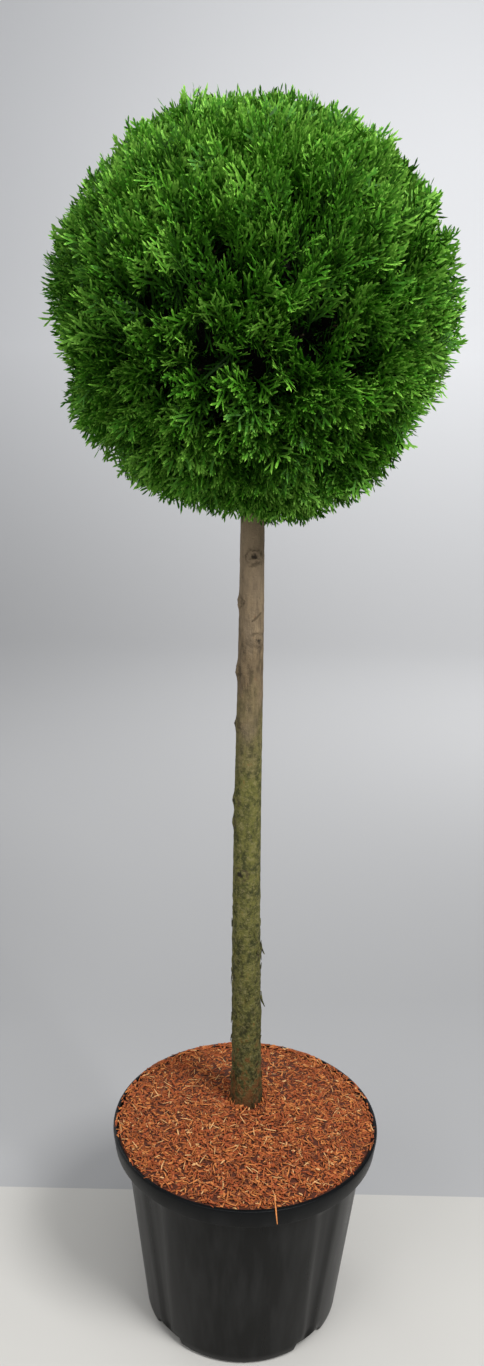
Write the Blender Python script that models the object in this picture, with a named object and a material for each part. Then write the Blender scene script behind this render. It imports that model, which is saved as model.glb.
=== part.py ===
"""Standard lollipop conifer: a clipped ball of flat sprays on a bare stem, in a nursery pot.

Metres, +Z up, front towards -Y. The origin is the centre of the pot's flat underside.
"""

import math
import random

import bmesh
import bpy
from mathutils import Matrix, Vector, noise

# Pot
POT_HEIGHT = 0.251
RIM_RADIUS = 0.1645
RIM_WIDTH = 0.0055
RIM_ROUND = 0.002
COLLAR_FOOT = 0.228
COLLAR_RADIUS = 0.162
WALL_FOOT_RADIUS = 0.1215
WALL_TOP_RADIUS = 0.149
FOOT_RADIUS = 0.119
FOOT_EDGE = 0.004
POT_WALL = 0.003
FLOOR_TOP = 0.009
NOTCH_HEIGHT = 0.006
NOTCH_INNER_RADIUS = 0.100
FLUTE_COUNT = 4
FLUTE_DEPTH = 0.0026
FLUTE_HALF_WIDTH = math.radians(4.5)
NOTCH_HALF_WIDTH = math.radians(9.5)
FLUTE_TURN = math.radians(-2.5)
FLUTE_TOP = 0.214
FLUTE_HEAD = FLUTE_TOP + 2 * FLUTE_DEPTH
POT_SEGMENTS = 72

# Filling
CLEARANCE = 0.0003
SOIL_TOP = 0.2245
MULCH_EDGE = 0.2485
MULCH_DOME = 0.019
MULCH_RELIEF = 0.0022
MULCH_RINGS = 5

# Trunk, as (height, radius) from the flat cut on the soil to the tip inside the ball
TRUNK_FOOT = Vector((0.0015, 0.016, SOIL_TOP + CLEARANCE))
TRUNK_TIP = Vector((-0.0125, 0.003, 1.165))
TRUNK_TAPER = ((SOIL_TOP, 0.0245), (0.262, 0.0202), (0.30, 0.0186), (0.98, 0.0133), (1.165, 0.0085))
TRUNK_SIDES = 14
TRUNK_RINGS = 38
BUMP_SPREAD = 0.011
# Knots left by pruned side branches: height, direction from the front, how far they stand out
KNOTS = (
    (0.954, 10, 0.0016), (0.904, -85, 0.0020), (0.862, 25, 0.0020), (0.827, -88, 0.0028),
    (0.761, -80, 0.0026), (0.668, -75, 0.0024), (0.643, -95, 0.0020), (0.579, -30, 0.0014),
    (0.475, 85, 0.0016), (0.430, 170, 0.0022), (0.700, 140, 0.0022), (0.880, 175, 0.0020),
)

# Crown
CROWN_CENTRE = Vector((-0.0125, 0, 1.201))
CROWN_REACH = 0.226
CORE_RADIUS = 0.184
CORE_LUMPS = 0.016
SHOOT_COUNT = 72
SHOOT_ROOT = 0.160
SHOOT_END = 0.192
TWIG_RADIUS = 0.0021
SPRAY_SEAT = 0.014
SPRAY_ROOT = 0.168
SPRAY_WIDTH = 0.66
SPRAY_THICKNESS = 0.0014
# How far each of a shoot's side sprays leans out from it
SIDE_LEANS = (math.radians(42), math.radians(56))
SPRAY_LENGTHS = (0.060, 0.072)
TRUNK_BERTH = 0.010
SEED = 11


def material(name, colour, roughness):
    """A plain Principled finish."""
    made = bpy.data.materials.new(name)
    made.use_nodes = True
    shader = made.node_tree.nodes["Principled BSDF"]
    shader.inputs["Base Color"].default_value = (*colour, 1)
    shader.inputs["Roughness"].default_value = roughness
    shader.inputs["Metallic"].default_value = 0
    return made


def add_object(name, bm, finish=None, smooth_angle=None):
    """The bmesh as a named object with its material."""
    mesh = bpy.data.meshes.new(name)
    bm.to_mesh(mesh)
    bm.free()
    made = bpy.data.objects.new(name, mesh)
    bpy.context.scene.collection.objects.link(made)
    if finish is not None:
        mesh.materials.append(finish)
    if smooth_angle is not None:
        mesh.shade_smooth()
        mesh.set_sharp_from_angle(angle=smooth_angle)
    return made


def lerp(a, b, t):
    return a + (b - a) * t


def lofted(rings, start_pole=None, end_pole=None):
    """A closed bmesh through rings of points that have one count, each end filled to a pole or a cap.
    Seen from outside, each ring runs anticlockwise about the way the loft goes."""
    bm = bmesh.new()
    loops = [[bm.verts.new(point) for point in points] for points in rings]
    count = len(loops[0])
    for low, high in zip(loops, loops[1:]):
        for k in range(count):
            nxt = (k + 1) % count
            bm.faces.new((low[k], low[nxt], high[nxt], high[k]))
    for loop, pole, start in ((loops[0], start_pole, True), (loops[-1], end_pole, False)):
        if pole is None:
            bm.faces.new(loop[::-1] if start else loop)
            continue
        tip = bm.verts.new(pole)
        for k in range(count):
            nxt = (k + 1) % count
            bm.faces.new((loop[nxt], loop[k], tip) if start else (loop[k], loop[nxt], tip))
    return bm


def pot_angles():
    return [math.tau * k / POT_SEGMENTS for k in range(POT_SEGMENTS)]


def in_flute(angle, half_width=FLUTE_HALF_WIDTH):
    """Whether this direction lies in one of the pot's flutes, which stand over the notches in its foot."""
    pitch = math.tau / FLUTE_COUNT
    off = (angle - math.pi / 4 - FLUTE_TURN + pitch / 2) % pitch - pitch / 2
    return abs(off) < half_width


def wall_radius(height, angle):
    """The pot wall's outer radius, drawn in along its flutes."""
    radius = lerp(WALL_FOOT_RADIUS, WALL_TOP_RADIUS, height / COLLAR_FOOT)
    return radius - (FLUTE_DEPTH if in_flute(angle) and height <= FLUTE_TOP else 0)


def ring(radius, height):
    """A level ring about the pot's axis. Radius and height are numbers, or functions of the direction."""
    points = []
    for angle in pot_angles():
        r = radius(angle) if callable(radius) else radius
        z = height(angle) if callable(height) else height
        points.append((r * math.cos(angle), r * math.sin(angle), z))
    return points


def wall_ring(height, inset=0.0):
    return ring(lambda angle: wall_radius(height, angle) - inset, height)


def foot_height(angle):
    return NOTCH_HEIGHT if in_flute(angle, NOTCH_HALF_WIDTH) else 0.0


def make_pot(finish):
    """One turned shell: foot with drain notches, fluted wall, collar and rounded rim, then the inside."""
    rings = [
        ring(NOTCH_INNER_RADIUS - POT_WALL, 0),
        ring(NOTCH_INNER_RADIUS, foot_height),
        ring(FOOT_RADIUS, foot_height),
        ring(lambda angle: wall_radius(FOOT_EDGE, angle), lambda angle: foot_height(angle) + FOOT_EDGE),
        wall_ring(FLUTE_TOP),
        wall_ring(FLUTE_HEAD),
        wall_ring(COLLAR_FOOT),
        ring(COLLAR_RADIUS, COLLAR_FOOT),
        ring(RIM_RADIUS, POT_HEIGHT - RIM_ROUND),
        ring(RIM_RADIUS - RIM_ROUND, POT_HEIGHT),
        ring(RIM_RADIUS - RIM_WIDTH, POT_HEIGHT),
        ring(RIM_RADIUS - RIM_WIDTH, COLLAR_FOOT + POT_WALL),
        wall_ring(COLLAR_FOOT, POT_WALL),
        wall_ring(FLUTE_HEAD, POT_WALL),
        wall_ring(FLUTE_TOP, POT_WALL),
        wall_ring(FLOOR_TOP, POT_WALL),
    ]
    bm = lofted(rings, (0, 0, 0), (0, 0, FLOOR_TOP))
    return add_object("pot", bm, finish, math.radians(30))


def soil_ring(height):
    """The soil's edge: it follows the wall, and stands off one panel more beside each flute."""
    full = lerp(WALL_FOOT_RADIUS, WALL_TOP_RADIUS, height / COLLAR_FOOT) - POT_WALL - CLEARANCE
    wider = FLUTE_HALF_WIDTH + math.tau / POT_SEGMENTS
    return ring(lambda a: full - (FLUTE_DEPTH if in_flute(a, wider) and height <= FLUTE_HEAD else 0), height)


def make_root_ball(finish):
    """The soil that fills the pot up to the mulch."""
    floor = FLOOR_TOP + CLEARANCE
    rings = [soil_ring(floor), soil_ring(FLUTE_HEAD), soil_ring(SOIL_TOP)]
    bm = lofted(rings, (0, 0, floor), (0, 0, SOIL_TOP))
    return add_object("root_ball", bm, finish, math.radians(30))


def trunk_axis(height):
    """The trunk's centre at a height: a slight lean with a slow sweep in it."""
    t = (height - TRUNK_FOOT.z) / (TRUNK_TIP.z - TRUNK_FOOT.z)
    sweep = 0.0022 * math.sin(math.pi * t) * math.sin(5.2 * t)
    point = TRUNK_FOOT.lerp(TRUNK_TIP, t)
    return Vector((point.x - sweep, point.y + 0.5 * sweep, height))


def trunk_radius(height):
    """The taper, read from the table of heights and radii."""
    for (low, wide), (high, slim) in zip(TRUNK_TAPER, TRUNK_TAPER[1:]):
        if height <= high:
            return lerp(wide, slim, max(0.0, (height - low) / (high - low)))
    return TRUNK_TAPER[-1][1]


def level_way(angle):
    return Vector((math.cos(angle), math.sin(angle), 0))


def mulch_hole(angle, height):
    """A point of the hole that the trunk stands in."""
    return trunk_axis(height) + level_way(angle) * (trunk_radius(height) + 2 * CLEARANCE)


def mulch_point(angle, share):
    """A point of the mulch's top: share runs from 0 at the trunk to 1 at the pot's rim."""
    edge = RIM_RADIUS - RIM_WIDTH - CLEARANCE
    point = mulch_hole(angle, MULCH_EDGE + MULCH_DOME).lerp(level_way(angle) * edge, share)
    height = MULCH_EDGE + MULCH_DOME * (1 - share**2)
    if 0 < share < 1:
        height += MULCH_RELIEF * noise.noise(Vector((point.x, point.y, 0)) * 60)
    point.z = height
    return point


def make_mulch(finish):
    """The layer of shredded bark: a low dome on the soil, out to the rim and round the trunk's foot."""
    floor = SOIL_TOP + CLEARANCE
    inset = POT_WALL + CLEARANCE
    edge = RIM_RADIUS - RIM_WIDTH - CLEARANCE
    rings = [
        [mulch_hole(angle, floor) for angle in pot_angles()],
        wall_ring(floor, inset),
        wall_ring(COLLAR_FOOT, inset),
        ring(edge, COLLAR_FOOT + inset),
    ]
    for k in range(MULCH_RINGS, -1, -1):
        rings.append([mulch_point(angle, k / MULCH_RINGS) for angle in pot_angles()])
    bm = bmesh.new()
    loops = [[bm.verts.new(point) for point in points] for points in rings]
    for low, high in zip(loops, loops[1:] + loops[:1]):
        for k in range(POT_SEGMENTS):
            nxt = (k + 1) % POT_SEGMENTS
            bm.faces.new((low[k], low[nxt], high[nxt], high[k]))
    bmesh.ops.recalc_face_normals(bm, faces=bm.faces)
    return add_object("bark_mulch", bm, finish, math.radians(40))


def knot_bulge(height, angle):
    """How far the knots push the bark out at this height and direction from the front."""
    bulge = 0.0
    for at, turn, proud in KNOTS:
        around = (angle - math.radians(turn) + math.pi) % math.tau - math.pi
        along = (height - at) / BUMP_SPREAD
        across = around * trunk_radius(height) / (0.8 * BUMP_SPREAD)
        bulge += proud * math.exp(-(along * along + across * across))
    return bulge


def trunk_ring(height, margin=0.0):
    centre = trunk_axis(height)
    points = []
    for k in range(TRUNK_SIDES):
        angle = math.tau * k / TRUNK_SIDES
        radius = trunk_radius(height) + knot_bulge(height, angle) + margin
        points.append(centre + Vector((math.sin(angle), -math.cos(angle), 0)) * radius)
    return points


def trunk_heights():
    """Ring heights: close together round the root flare, then even."""
    flare = [TRUNK_FOOT.z + 0.010 * k for k in range(5)]
    rest = TRUNK_RINGS - len(flare)
    top = TRUNK_TIP.z
    return flare + [lerp(flare[-1], top, (k + 1) / rest) for k in range(rest)]


def make_trunk(finish):
    """The bare stem with its root flare, lean and pruning knots, and its tip inside the ball."""
    rings = [trunk_ring(height) for height in trunk_heights()]
    bm = lofted(rings)
    return add_object("trunk", bm, finish, math.radians(50))


def make_socket_cutter():
    """The trunk's shape a little larger, running out below the ball."""
    heights = [CROWN_CENTRE.z - 0.30] + [h for h in trunk_heights() if h > CROWN_CENTRE.z - 0.26]
    rings = [trunk_ring(height, 2 * CLEARANCE) for height in heights]
    rings.append([p + Vector((0, 0, 2 * CLEARANCE)) for p in trunk_ring(heights[-1], 2 * CLEARANCE)])
    cutter = add_object("socket_cutter", lofted(rings))
    cutter.hide_render = True
    cutter.display_type = "WIRE"
    return cutter


def frame_of(axis, roll):
    """A turn whose Y lies along axis, rolled about it."""
    turn = axis.to_track_quat("Y", "Z").to_matrix()
    return turn @ Matrix.Rotation(roll, 3, "Y")


def spray_outline(root, axis, length, roll):
    """The turn of a spray and the points round its blade, from its stalk, in the blade's own plane."""
    half = SPRAY_WIDTH * length / 2
    outline = ((0.0, 0.0), (1.0, 0.56), (0.34, 0.64), (0.06, 1.0), (-0.94, 0.62))
    turn = frame_of(axis, roll)
    return turn, [root + turn @ Vector((x * half, y * length, 0)) for x, y in outline]


def make_spray(root, axis, length, roll):
    """A toothed blade with its stalk at the root: a flat spray of scale leaves."""
    turn, points = spray_outline(root, axis, length, roll)
    half_thick = turn @ Vector((0, 0, SPRAY_THICKNESS / 2))
    bm = bmesh.new()
    back = [bm.verts.new(point - half_thick) for point in points]
    front = [bm.verts.new(point + half_thick) for point in points]
    bm.faces.new(back[::-1])
    bm.faces.new(front)
    for k in range(len(points)):
        nxt = (k + 1) % len(points)
        bm.faces.new((back[k], back[nxt], front[nxt], front[k]))
    return bm


def make_twig(start, end):
    """A three-sided tapering twig."""
    turn = frame_of((end - start).normalized(), 0)
    rings = []
    for centre, radius in ((start, TWIG_RADIUS), (end, TWIG_RADIUS * 0.6)):
        corners = [Vector((math.cos(a), 0, -math.sin(a))) for a in (0, math.tau / 3, 2 * math.tau / 3)]
        rings.append([centre + turn @ corner * radius for corner in corners])
    bm = lofted(rings)
    bmesh.ops.recalc_face_normals(bm, faces=bm.faces)
    return bm


def shoot_directions():
    """Even directions over the ball, by the golden angle."""
    golden = math.pi * (3 - math.sqrt(5))
    for k in range(SHOOT_COUNT):
        z = 1 - (2 * k + 1) / SHOOT_COUNT
        flat = math.sqrt(1 - z * z)
        yield Vector((flat * math.cos(golden * k), flat * math.sin(golden * k), z))


def keeps_its_space(point):
    """Inside the ball's reach, and clear of the trunk."""
    if (point - CROWN_CENTRE).length > CROWN_REACH:
        return False
    if point.z > TRUNK_TIP.z:
        return True
    off = point - trunk_axis(point.z)
    return off.length > trunk_radius(point.z) + TRUNK_BERTH


def spray_length(start, axis, rng):
    """How far a spray grows from its start: its tip stops a little inside the ball's reach."""
    out = start - CROWN_CENTRE
    along = out.dot(axis)
    reach = CROWN_REACH * rng.uniform(0.93, 1.0)
    return min(rng.uniform(*SPRAY_LENGTHS), math.sqrt(along**2 + reach**2 - out.length_squared) - along)


def make_shoots(collection, rng):
    """Each shoot is a twig out of the core with a spray at its end, and two sprays that lean out beside it."""
    for way in shoot_directions():
        growth = (way + Vector((0, 0, 0.16 * (1 - way.z * way.z)))).normalized()
        root = CROWN_CENTRE + way * SHOOT_ROOT
        end = root + growth * (SHOOT_END - SHOOT_ROOT)
        around = rng.uniform(0, math.tau)
        sprays = [(end - growth * SPRAY_SEAT, growth)]
        for lean in SIDE_LEANS:
            around += math.tau / 2.4
            side = frame_of(growth, around) @ Vector((1, 0, 0))
            start = CROWN_CENTRE + (way * SPRAY_ROOT + side * SPRAY_SEAT)
            sprays.append((start, growth * math.cos(lean) + side * math.sin(lean)))
        parts = []
        for start, axis in sprays:
            length = spray_length(start, axis, rng)
            roll = rng.uniform(0, math.pi)
            if all(keeps_its_space(point) for point in spray_outline(start, axis, length, roll)[1]):
                parts.append(make_spray(start, axis, length, roll))
        if keeps_its_space(end):
            parts.append(make_twig(root, end))
        for bm in parts:
            made = add_object("shoot_part", bm)
            bpy.context.scene.collection.objects.unlink(made)
            collection.objects.link(made)


def make_core():
    """The dense heart of the clipped ball, with the slight lumps of its branch clusters."""
    bm = bmesh.new()
    bmesh.ops.create_icosphere(bm, subdivisions=3, radius=CORE_RADIUS)
    for vert in bm.verts:
        vert.co += vert.normal * CORE_LUMPS * noise.noise(vert.co * 14)
        vert.co += CROWN_CENTRE
    return bm


def apply_boolean(target, operation, solver, other=None, collection=None):
    """Adds one Boolean to target and applies it."""
    boolean = target.modifiers.new(operation.title(), "BOOLEAN")
    boolean.operation = operation
    boolean.solver = solver
    if collection is not None:
        boolean.operand_type = "COLLECTION"
        boolean.collection = collection
    else:
        boolean.object = other
    bpy.context.view_layer.objects.active = target
    bpy.ops.object.modifier_apply(modifier=boolean.name)


def connected_faces(start):
    """All faces joined to this one through shared edges."""
    found = {start}
    waiting = [start]
    while waiting:
        for edge in waiting.pop().edges:
            for face in edge.link_faces:
                if face not in found:
                    found.add(face)
                    waiting.append(face)
    return found


def keep_outer_shell(target):
    """Drops loose scraps, and the walls of any hollow that the union sealed, which fills it."""
    bm = bmesh.new()
    bm.from_mesh(target.data)
    left = set(bm.faces)
    shells = []
    while left:
        shell = connected_faces(next(iter(left)))
        shells.append(shell)
        left -= shell
    outer = max(shells, key=len)
    bmesh.ops.delete(bm, geom=[face for face in bm.faces if face not in outer], context="FACES")
    bm.to_mesh(target.data)
    bm.free()


def make_crown(finish):
    """The clipped ball: core and shoots in one body, cut clear of the trunk that runs up into it."""
    rng = random.Random(SEED)
    shoots = bpy.data.collections.new("shoots")
    bpy.context.scene.collection.children.link(shoots)
    make_shoots(shoots, rng)
    crown = add_object("crown", make_core(), finish)
    apply_boolean(crown, "UNION", "MANIFOLD", collection=shoots)
    for made in list(shoots.objects):
        bpy.data.objects.remove(made)
    bpy.data.collections.remove(shoots)
    keep_outer_shell(crown)
    cutter = make_socket_cutter()
    apply_boolean(crown, "DIFFERENCE", "MANIFOLD", other=cutter)
    bpy.data.objects.remove(cutter)
    keep_outer_shell(crown)
    return crown


def main():
    for old in list(bpy.data.objects):
        bpy.data.objects.remove(old)
    make_pot(material("black_plastic", (0.018, 0.018, 0.019), 0.42))
    make_root_ball(material("potting_soil", (0.035, 0.022, 0.014), 0.95))
    make_mulch(material("red_bark", (0.33, 0.11, 0.045), 0.9))
    make_trunk(material("bark", (0.20, 0.17, 0.11), 0.85))
    make_crown(material("green_sprays", (0.05, 0.20, 0.02), 0.55))


main()
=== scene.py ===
"""The looks of a potted ball topiary: pot, bark mulch, stem, boughs and leaf sprays, on a pale studio floor.

Everything is in metres in the model's frame, +Z up, with the front towards -Y.
"""

import math
import random

import bpy
import numpy as np
from bpy.props import FloatProperty, FloatVectorProperty, IntProperty, PointerProperty
from bpy.types import Operator, Panel, PropertyGroup
from mathutils import Matrix, Vector, noise


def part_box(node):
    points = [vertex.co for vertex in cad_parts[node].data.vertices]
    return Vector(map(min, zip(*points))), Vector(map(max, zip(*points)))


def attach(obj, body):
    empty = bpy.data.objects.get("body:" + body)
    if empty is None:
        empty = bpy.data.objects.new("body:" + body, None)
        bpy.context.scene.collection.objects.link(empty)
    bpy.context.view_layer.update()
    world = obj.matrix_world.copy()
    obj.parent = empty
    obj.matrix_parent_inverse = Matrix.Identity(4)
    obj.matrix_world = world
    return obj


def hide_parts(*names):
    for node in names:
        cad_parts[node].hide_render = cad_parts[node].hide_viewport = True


bl_info = {
    "name": "Potted ball topiary",
    "version": (1, 0, 0),
    "blender": (4, 5, 0),
    "location": "3D View > Sidebar > Topiary",
    "description": "Dresses a clipped conifer ball on a stem, with its pot and bark mulch",
    "category": "Object",
}

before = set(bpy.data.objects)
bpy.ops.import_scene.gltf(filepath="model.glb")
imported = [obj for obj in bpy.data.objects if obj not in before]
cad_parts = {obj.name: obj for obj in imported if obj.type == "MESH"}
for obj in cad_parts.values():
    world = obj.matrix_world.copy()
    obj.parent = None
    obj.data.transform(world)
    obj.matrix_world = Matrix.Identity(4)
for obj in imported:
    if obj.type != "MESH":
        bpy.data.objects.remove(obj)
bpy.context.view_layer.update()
POT_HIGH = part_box("pot")[1]
TRUNK_LOW, TRUNK_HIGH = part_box("trunk")
UP = Vector((0, 0, 1))
BLACK = (0, 0, 0)

# The pot's profile, as the solid has it
COLLAR_FOOT = 0.228
COLLAR_RADIUS = 0.162
WALL_FOOT_RADIUS = 0.1215
WALL_TOP_RADIUS = 0.149
FOOT_RADIUS = 0.119
FOOT_EDGE = 0.004
POT_WALL = 0.003
FLOOR_TOP = 0.009
NOTCH_INNER_RADIUS = 0.100
FLUTE_COUNT = 4
FLUTE_TURN = math.radians(-2.5)
FLUTE_TOP = 0.214
FLUTE_HEAD = 0.2192

# Heights of the rings of faces up the pot's wall
WALL_RINGS = [0.012 + 0.0101 * ring for ring in range(21)]

# The stem's path and the ball's place, as the solids have them
TRUNK_FOOT = Vector((0.0015, 0.016, 0.2248))
TRUNK_TIP = Vector((-0.0125, 0.003, 1.165))
TRUNK_TAPER = ((0.2245, 0.0245), (0.262, 0.0202), (0.30, 0.0186), (0.98, 0.0133), (1.165, 0.0085))
CROWN_CENTRE = Vector((-0.0125, 0, 1.201))

# How many boughs there are, how low they start, how far out they fork, and how deep their twigs end
SHOOT_COUNT = 72
LOWEST_BOUGH = 1.035
FORK_RADIUS = 0.105
TWIG_DEPTH = 0.038

# Knots left by pruned side branches: height, direction from the front in degrees, how far they stand out
KNOTS = (
    (0.954, 10, 0.0016), (0.904, -85, 0.0020), (0.862, 29, 0.0030), (0.827, -88, 0.0028),
    (0.761, -80, 0.0026), (0.668, -75, 0.0024), (0.643, -95, 0.0020), (0.579, -30, 0.0014),
    (0.475, 85, 0.0016), (0.430, 170, 0.0022), (0.700, 140, 0.0022), (0.880, 175, 0.0020),
)

# A knot's radius, how far round it the bark rises, and the dented eye in its middle
KNOT_RADIUS = 0.0052
KNOT_SLOPE = 0.009
EYE_RADIUS = 0.0030
EYE_DEPTH = 0.0016

# A slanting scar's two ends: height, direction from the front in degrees
SCAR = ((0.893, 50), (0.883, 2))

# Heights of the slivers that hang off the stem on the right
HANGING_SLIVERS = (0.478, 0.407)

# The mulch bed's gap to the wall, its gap to the rim and the stem, and how far it lies under the shreds
WALL_GAP = 0.0006
RIM_GAP = 0.0004
BED_SINK = 0.0025
BED_SIDES = 128
BED_RINGS = 30

# The shreds' colours, from the commonest to the rarest
SHRED_TINTS = ("rust", "orange", "brown", "tan", "pale")
TAN, PALE = 3, 4

# Kinds of shred: least and greatest length, as shares of the usual length, then least and greatest width,
# as shares of its own length
SHRED_KINDS = (
    (0.35, 0.70, 0.45, 0.75), (0.45, 0.85, 0.35, 0.60), (0.8, 1.3, 0.18, 0.30),
    (0.5, 0.9, 0.30, 0.5), (1.4, 2.2, 0.08, 0.13),
)
FORMS_OF_A_KIND = 6

# How far strewn shreds keep from the stem's middle
STEM_BERTH = 0.020

# Dark holes between the tufts at the front: degrees from the front, degrees up, degrees wide
HOLES = (
    (-19, 3, 6), (-30, -3, 7), (-43, -11, 8), (-14, -16, 7), (17, -4, 7), (16, -10, 7), (33, -17, 8),
    (-2, 5, 4), (10, 7, 5), (2, -19, 6), (51, -36, 10), (15, 23, 6), (45, 11, 7), (-29, -25, 6),
    (-11, -29, 6), (-10, 13, 6), (38, -49, 8), (53, 32, 6), (10, -26, 5), (67, 12, 7), (-60, 2, 8),
)

# Where the clipped surface bulges or falls short: degrees from the front, degrees up, how far it stands out
BULGES = (
    (96, 26, 0.014), (-90, 10, 0.012), (0, 78, -0.011), (110, 54, -0.013), (-90, -5, -0.017),
    (-80, -35, 0.010), (85, -24, -0.004), (82, -70, 0.021), (-59, -64, -0.003), (102, 36, 0.004),
    (0, -86, -0.007),
)
BULGE_DEGREES = 15

# How many shapes of spray are copied, how many greens they have, and how many pieces they are joined in
SPRAY_FORMS = 16
GREENS = 8
SPRAY_PIECES = 6

# The floor's strips: how wide, how near and far, how far under the pot, and how they curl up into a wall
FLOOR_WIDTH = 20
FLOOR_NEAR = -8.0
FLOOR_FAR = 4.0
FLOOR_DROP = 0.0006
CURL_RADIUS = 3.0
CURL_STEPS = 24
WALL_HEIGHT = 4.0

# The lights: name, place, what it points at, size, power
LIGHTS = (
    ("key_light", (1.2, -1.3, 2.5), (0, 0, 0.8), 0.85, 65),
    ("fill_light", (-1.6, -1.6, 2.0), (0, 0, 0.6), 1.5, 22),
    ("top_light", (0.1, -0.5, 2.8), (0, 0, 0.8), 1.5, 20),
    ("back_light", (-1.6, 1.8, 2.0), (0, 0, 1.15), 1.2, 11),
    ("far_light", (1.9, 1.9, 3.2), (1.5, 6.2, 1.8), 2.4, 212),
)

# A Mix node's sockets for colours, by number, because the ones for values and vectors have the same names
MIX_FIRST, MIX_SECOND, MIX_RESULT = 6, 7, 2


def length_setting(name, description, default):
    return FloatProperty(name=name, description=description, default=default, unit="LENGTH")


def angle_setting(name, description, degrees):
    return FloatProperty(name=name, description=description, default=math.radians(degrees), subtype="ANGLE")


def colour_setting(name, description, default):
    return FloatVectorProperty(name=name, description=description, default=default, subtype="COLOR")


def count_setting(name, description, default):
    return IntProperty(name=name, description=description, default=default)


class PotSettings(PropertyGroup):
    height: length_setting("Height", "From the floor to the rim", POT_HIGH.z)
    rim_radius: length_setting("Rim radius", "Outer radius of the rim", POT_HIGH.x)
    rim_width: length_setting("Rim width", "Thickness of the rim, seen from above", 0.0055)
    flute_depth: length_setting("Flute depth", "How far each flute is drawn in", 0.0026)
    flute_half_width: angle_setting("Flute half width", "Half of a flute's angle", 8.2)
    notch_half_width: angle_setting("Notch half width", "Half of a notch's angle", 10)
    notch_height: length_setting("Notch height", "Height of the drain notches in the foot", 0.006)
    segments: count_setting("Segments", "Faces round the pot", 180)
    colour: colour_setting("Plastic", "Colour of the moulded plastic", (0.0066, 0.0066, 0.0062))
    # The rim shade is painted shade with a painted bluish reflection: the plastic is drawn darker and bluer
    # towards the rim.
    rim_shade_colour: colour_setting("Rim shade", "Painted shade and bluish reflection near the rim", (0.0028, 0.0035, 0.0042))


class MulchSettings(PropertyGroup):
    edge_height: length_setting("Edge height", "Height of the mulch at the rim", 0.2495)
    dome: length_setting("Dome", "How much higher it is at the stem", 0.0175)
    shred_count: count_setting("Shreds", "Pieces of shredded bark", 10200)
    rim_shred_count: count_setting("Rim shreds", "Shreds that lie on the rim", 420)
    leaning_count: count_setting("Leaning shreds", "Shreds that lean on the foot of the stem", 70)
    sliver_count: count_setting("Slivers", "Long, pale slivers that lie on top", 150)
    shred_length: length_setting("Shred length", "Length of a usual shred", 0.0078)
    bed_colour: colour_setting("Bed", "Colour in the gaps between shreds", (0.10, 0.021, 0.006))
    rust: colour_setting("Rust", "Colour of the commonest shreds", (0.39, 0.065, 0.009))
    orange: colour_setting("Orange", "Colour of the freshest shreds", (0.50, 0.118, 0.020))
    brown: colour_setting("Brown", "Colour of the darkest shreds", (0.22, 0.044, 0.008))
    tan: colour_setting("Tan", "Colour of the faded shreds", (0.68, 0.225, 0.052))
    pale: colour_setting("Pale", "Colour of the palest slivers", (0.82, 0.45, 0.18))
    seed: count_setting("Seed", "Another seed strews the shreds anew", 5)


class StemSettings(PropertyGroup):
    sides: count_setting("Sides", "Faces round the stem", 40)
    rings: count_setting("Rings", "Rings of faces up the stem", 170)
    relief: length_setting("Relief", "Depth of the bark's relief", 0.0044)
    flake_count: count_setting("Flakes", "Loose flakes of bark on the lower stem", 110)
    bark_colour: colour_setting("Bark", "Colour of the dry upper bark", (0.210, 0.151, 0.084))
    algae_colour: colour_setting("Algae", "Colour of the film on the lower bark", (0.15, 0.145, 0.035))
    seed: count_setting("Seed", "Another seed moves the flakes", 3)


class CrownSettings(PropertyGroup):
    body_radius: length_setting("Body radius", "Radius of the clipped ball", 0.1955)
    reach: length_setting("Reach", "Radius that the longest tips reach", 0.2215)
    heart_radius: length_setting("Heart radius", "Radius of the dense, shaded mass inside", 0.150)
    hole_depth: length_setting("Hole depth", "Depth of the dark holes between tufts", 0.045)
    twig_count: count_setting("Twigs", "Twigs that carry the sprays", 380)
    spray_count: count_setting("Sprays", "Flat leaf sprays on the twigs", 9600)
    spray_length: length_setting("Spray length", "Length of a usual spray", 0.046)
    # The shade green is painted shade: the darkest green, given to sprays inside the ball and in the holes.
    shade_green: colour_setting("Shade green", "Painted shade of sprays inside and in holes", (0.0032, 0.021, 0.0025))
    mid_green: colour_setting("Mid green", "Colour of most sprays", (0.046, 0.205, 0.007))
    lime_green: colour_setting("Lime green", "Colour of the youngest tips", (0.27, 0.58, 0.075))
    seed: count_setting("Seed", "Another seed grows another ball", 21)


class StudioSettings(PropertyGroup):
    camera_place: FloatVectorProperty(
        name="Camera",
        description="Where the camera stands",
        default=(-0.0163, -1.1433, 1.0944),
        subtype="XYZ",
    )
    camera_dip: angle_setting("Dip", "How far the camera looks down", 13.9)
    camera_roll: angle_setting("Roll", "How far the camera is tilted", 1.28)
    lens: FloatProperty(name="Lens", description="Focal length in millimetres", default=27.56)
    seam: length_setting("Seam", "Where the cooler far floor begins", 0.169)
    floor_colour: colour_setting("Floor", "Colour of the near floor", (0.595, 0.582, 0.552))
    far_colour: colour_setting("Far floor", "Colour of the far floor", (0.442, 0.444, 0.450))
    # The wall colour is painted light: the sweep blends up to it with height, so the backdrop is lighter
    # higher up.
    wall_painted_light: colour_setting("Wall", "Painted light: colour the far sweep rises to", (0.72, 0.728, 0.745))


class Value:
    """A node's output. Arithmetic on it adds Math nodes to its material."""

    def __init__(self, finish, socket):
        self.finish = finish
        self.socket = socket

    def maths(self, operation, first, second):
        return self.finish.add("ShaderNodeMath", {"operation": operation}, (first, second))

    def __add__(self, other):
        return self.maths("ADD", self, other)

    def __sub__(self, other):
        return self.maths("SUBTRACT", self, other)

    def __rsub__(self, other):
        return self.maths("SUBTRACT", other, self)

    def __mul__(self, other):
        return self.maths("MULTIPLY", self, other)

    __radd__ = __add__
    __rmul__ = __mul__


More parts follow.
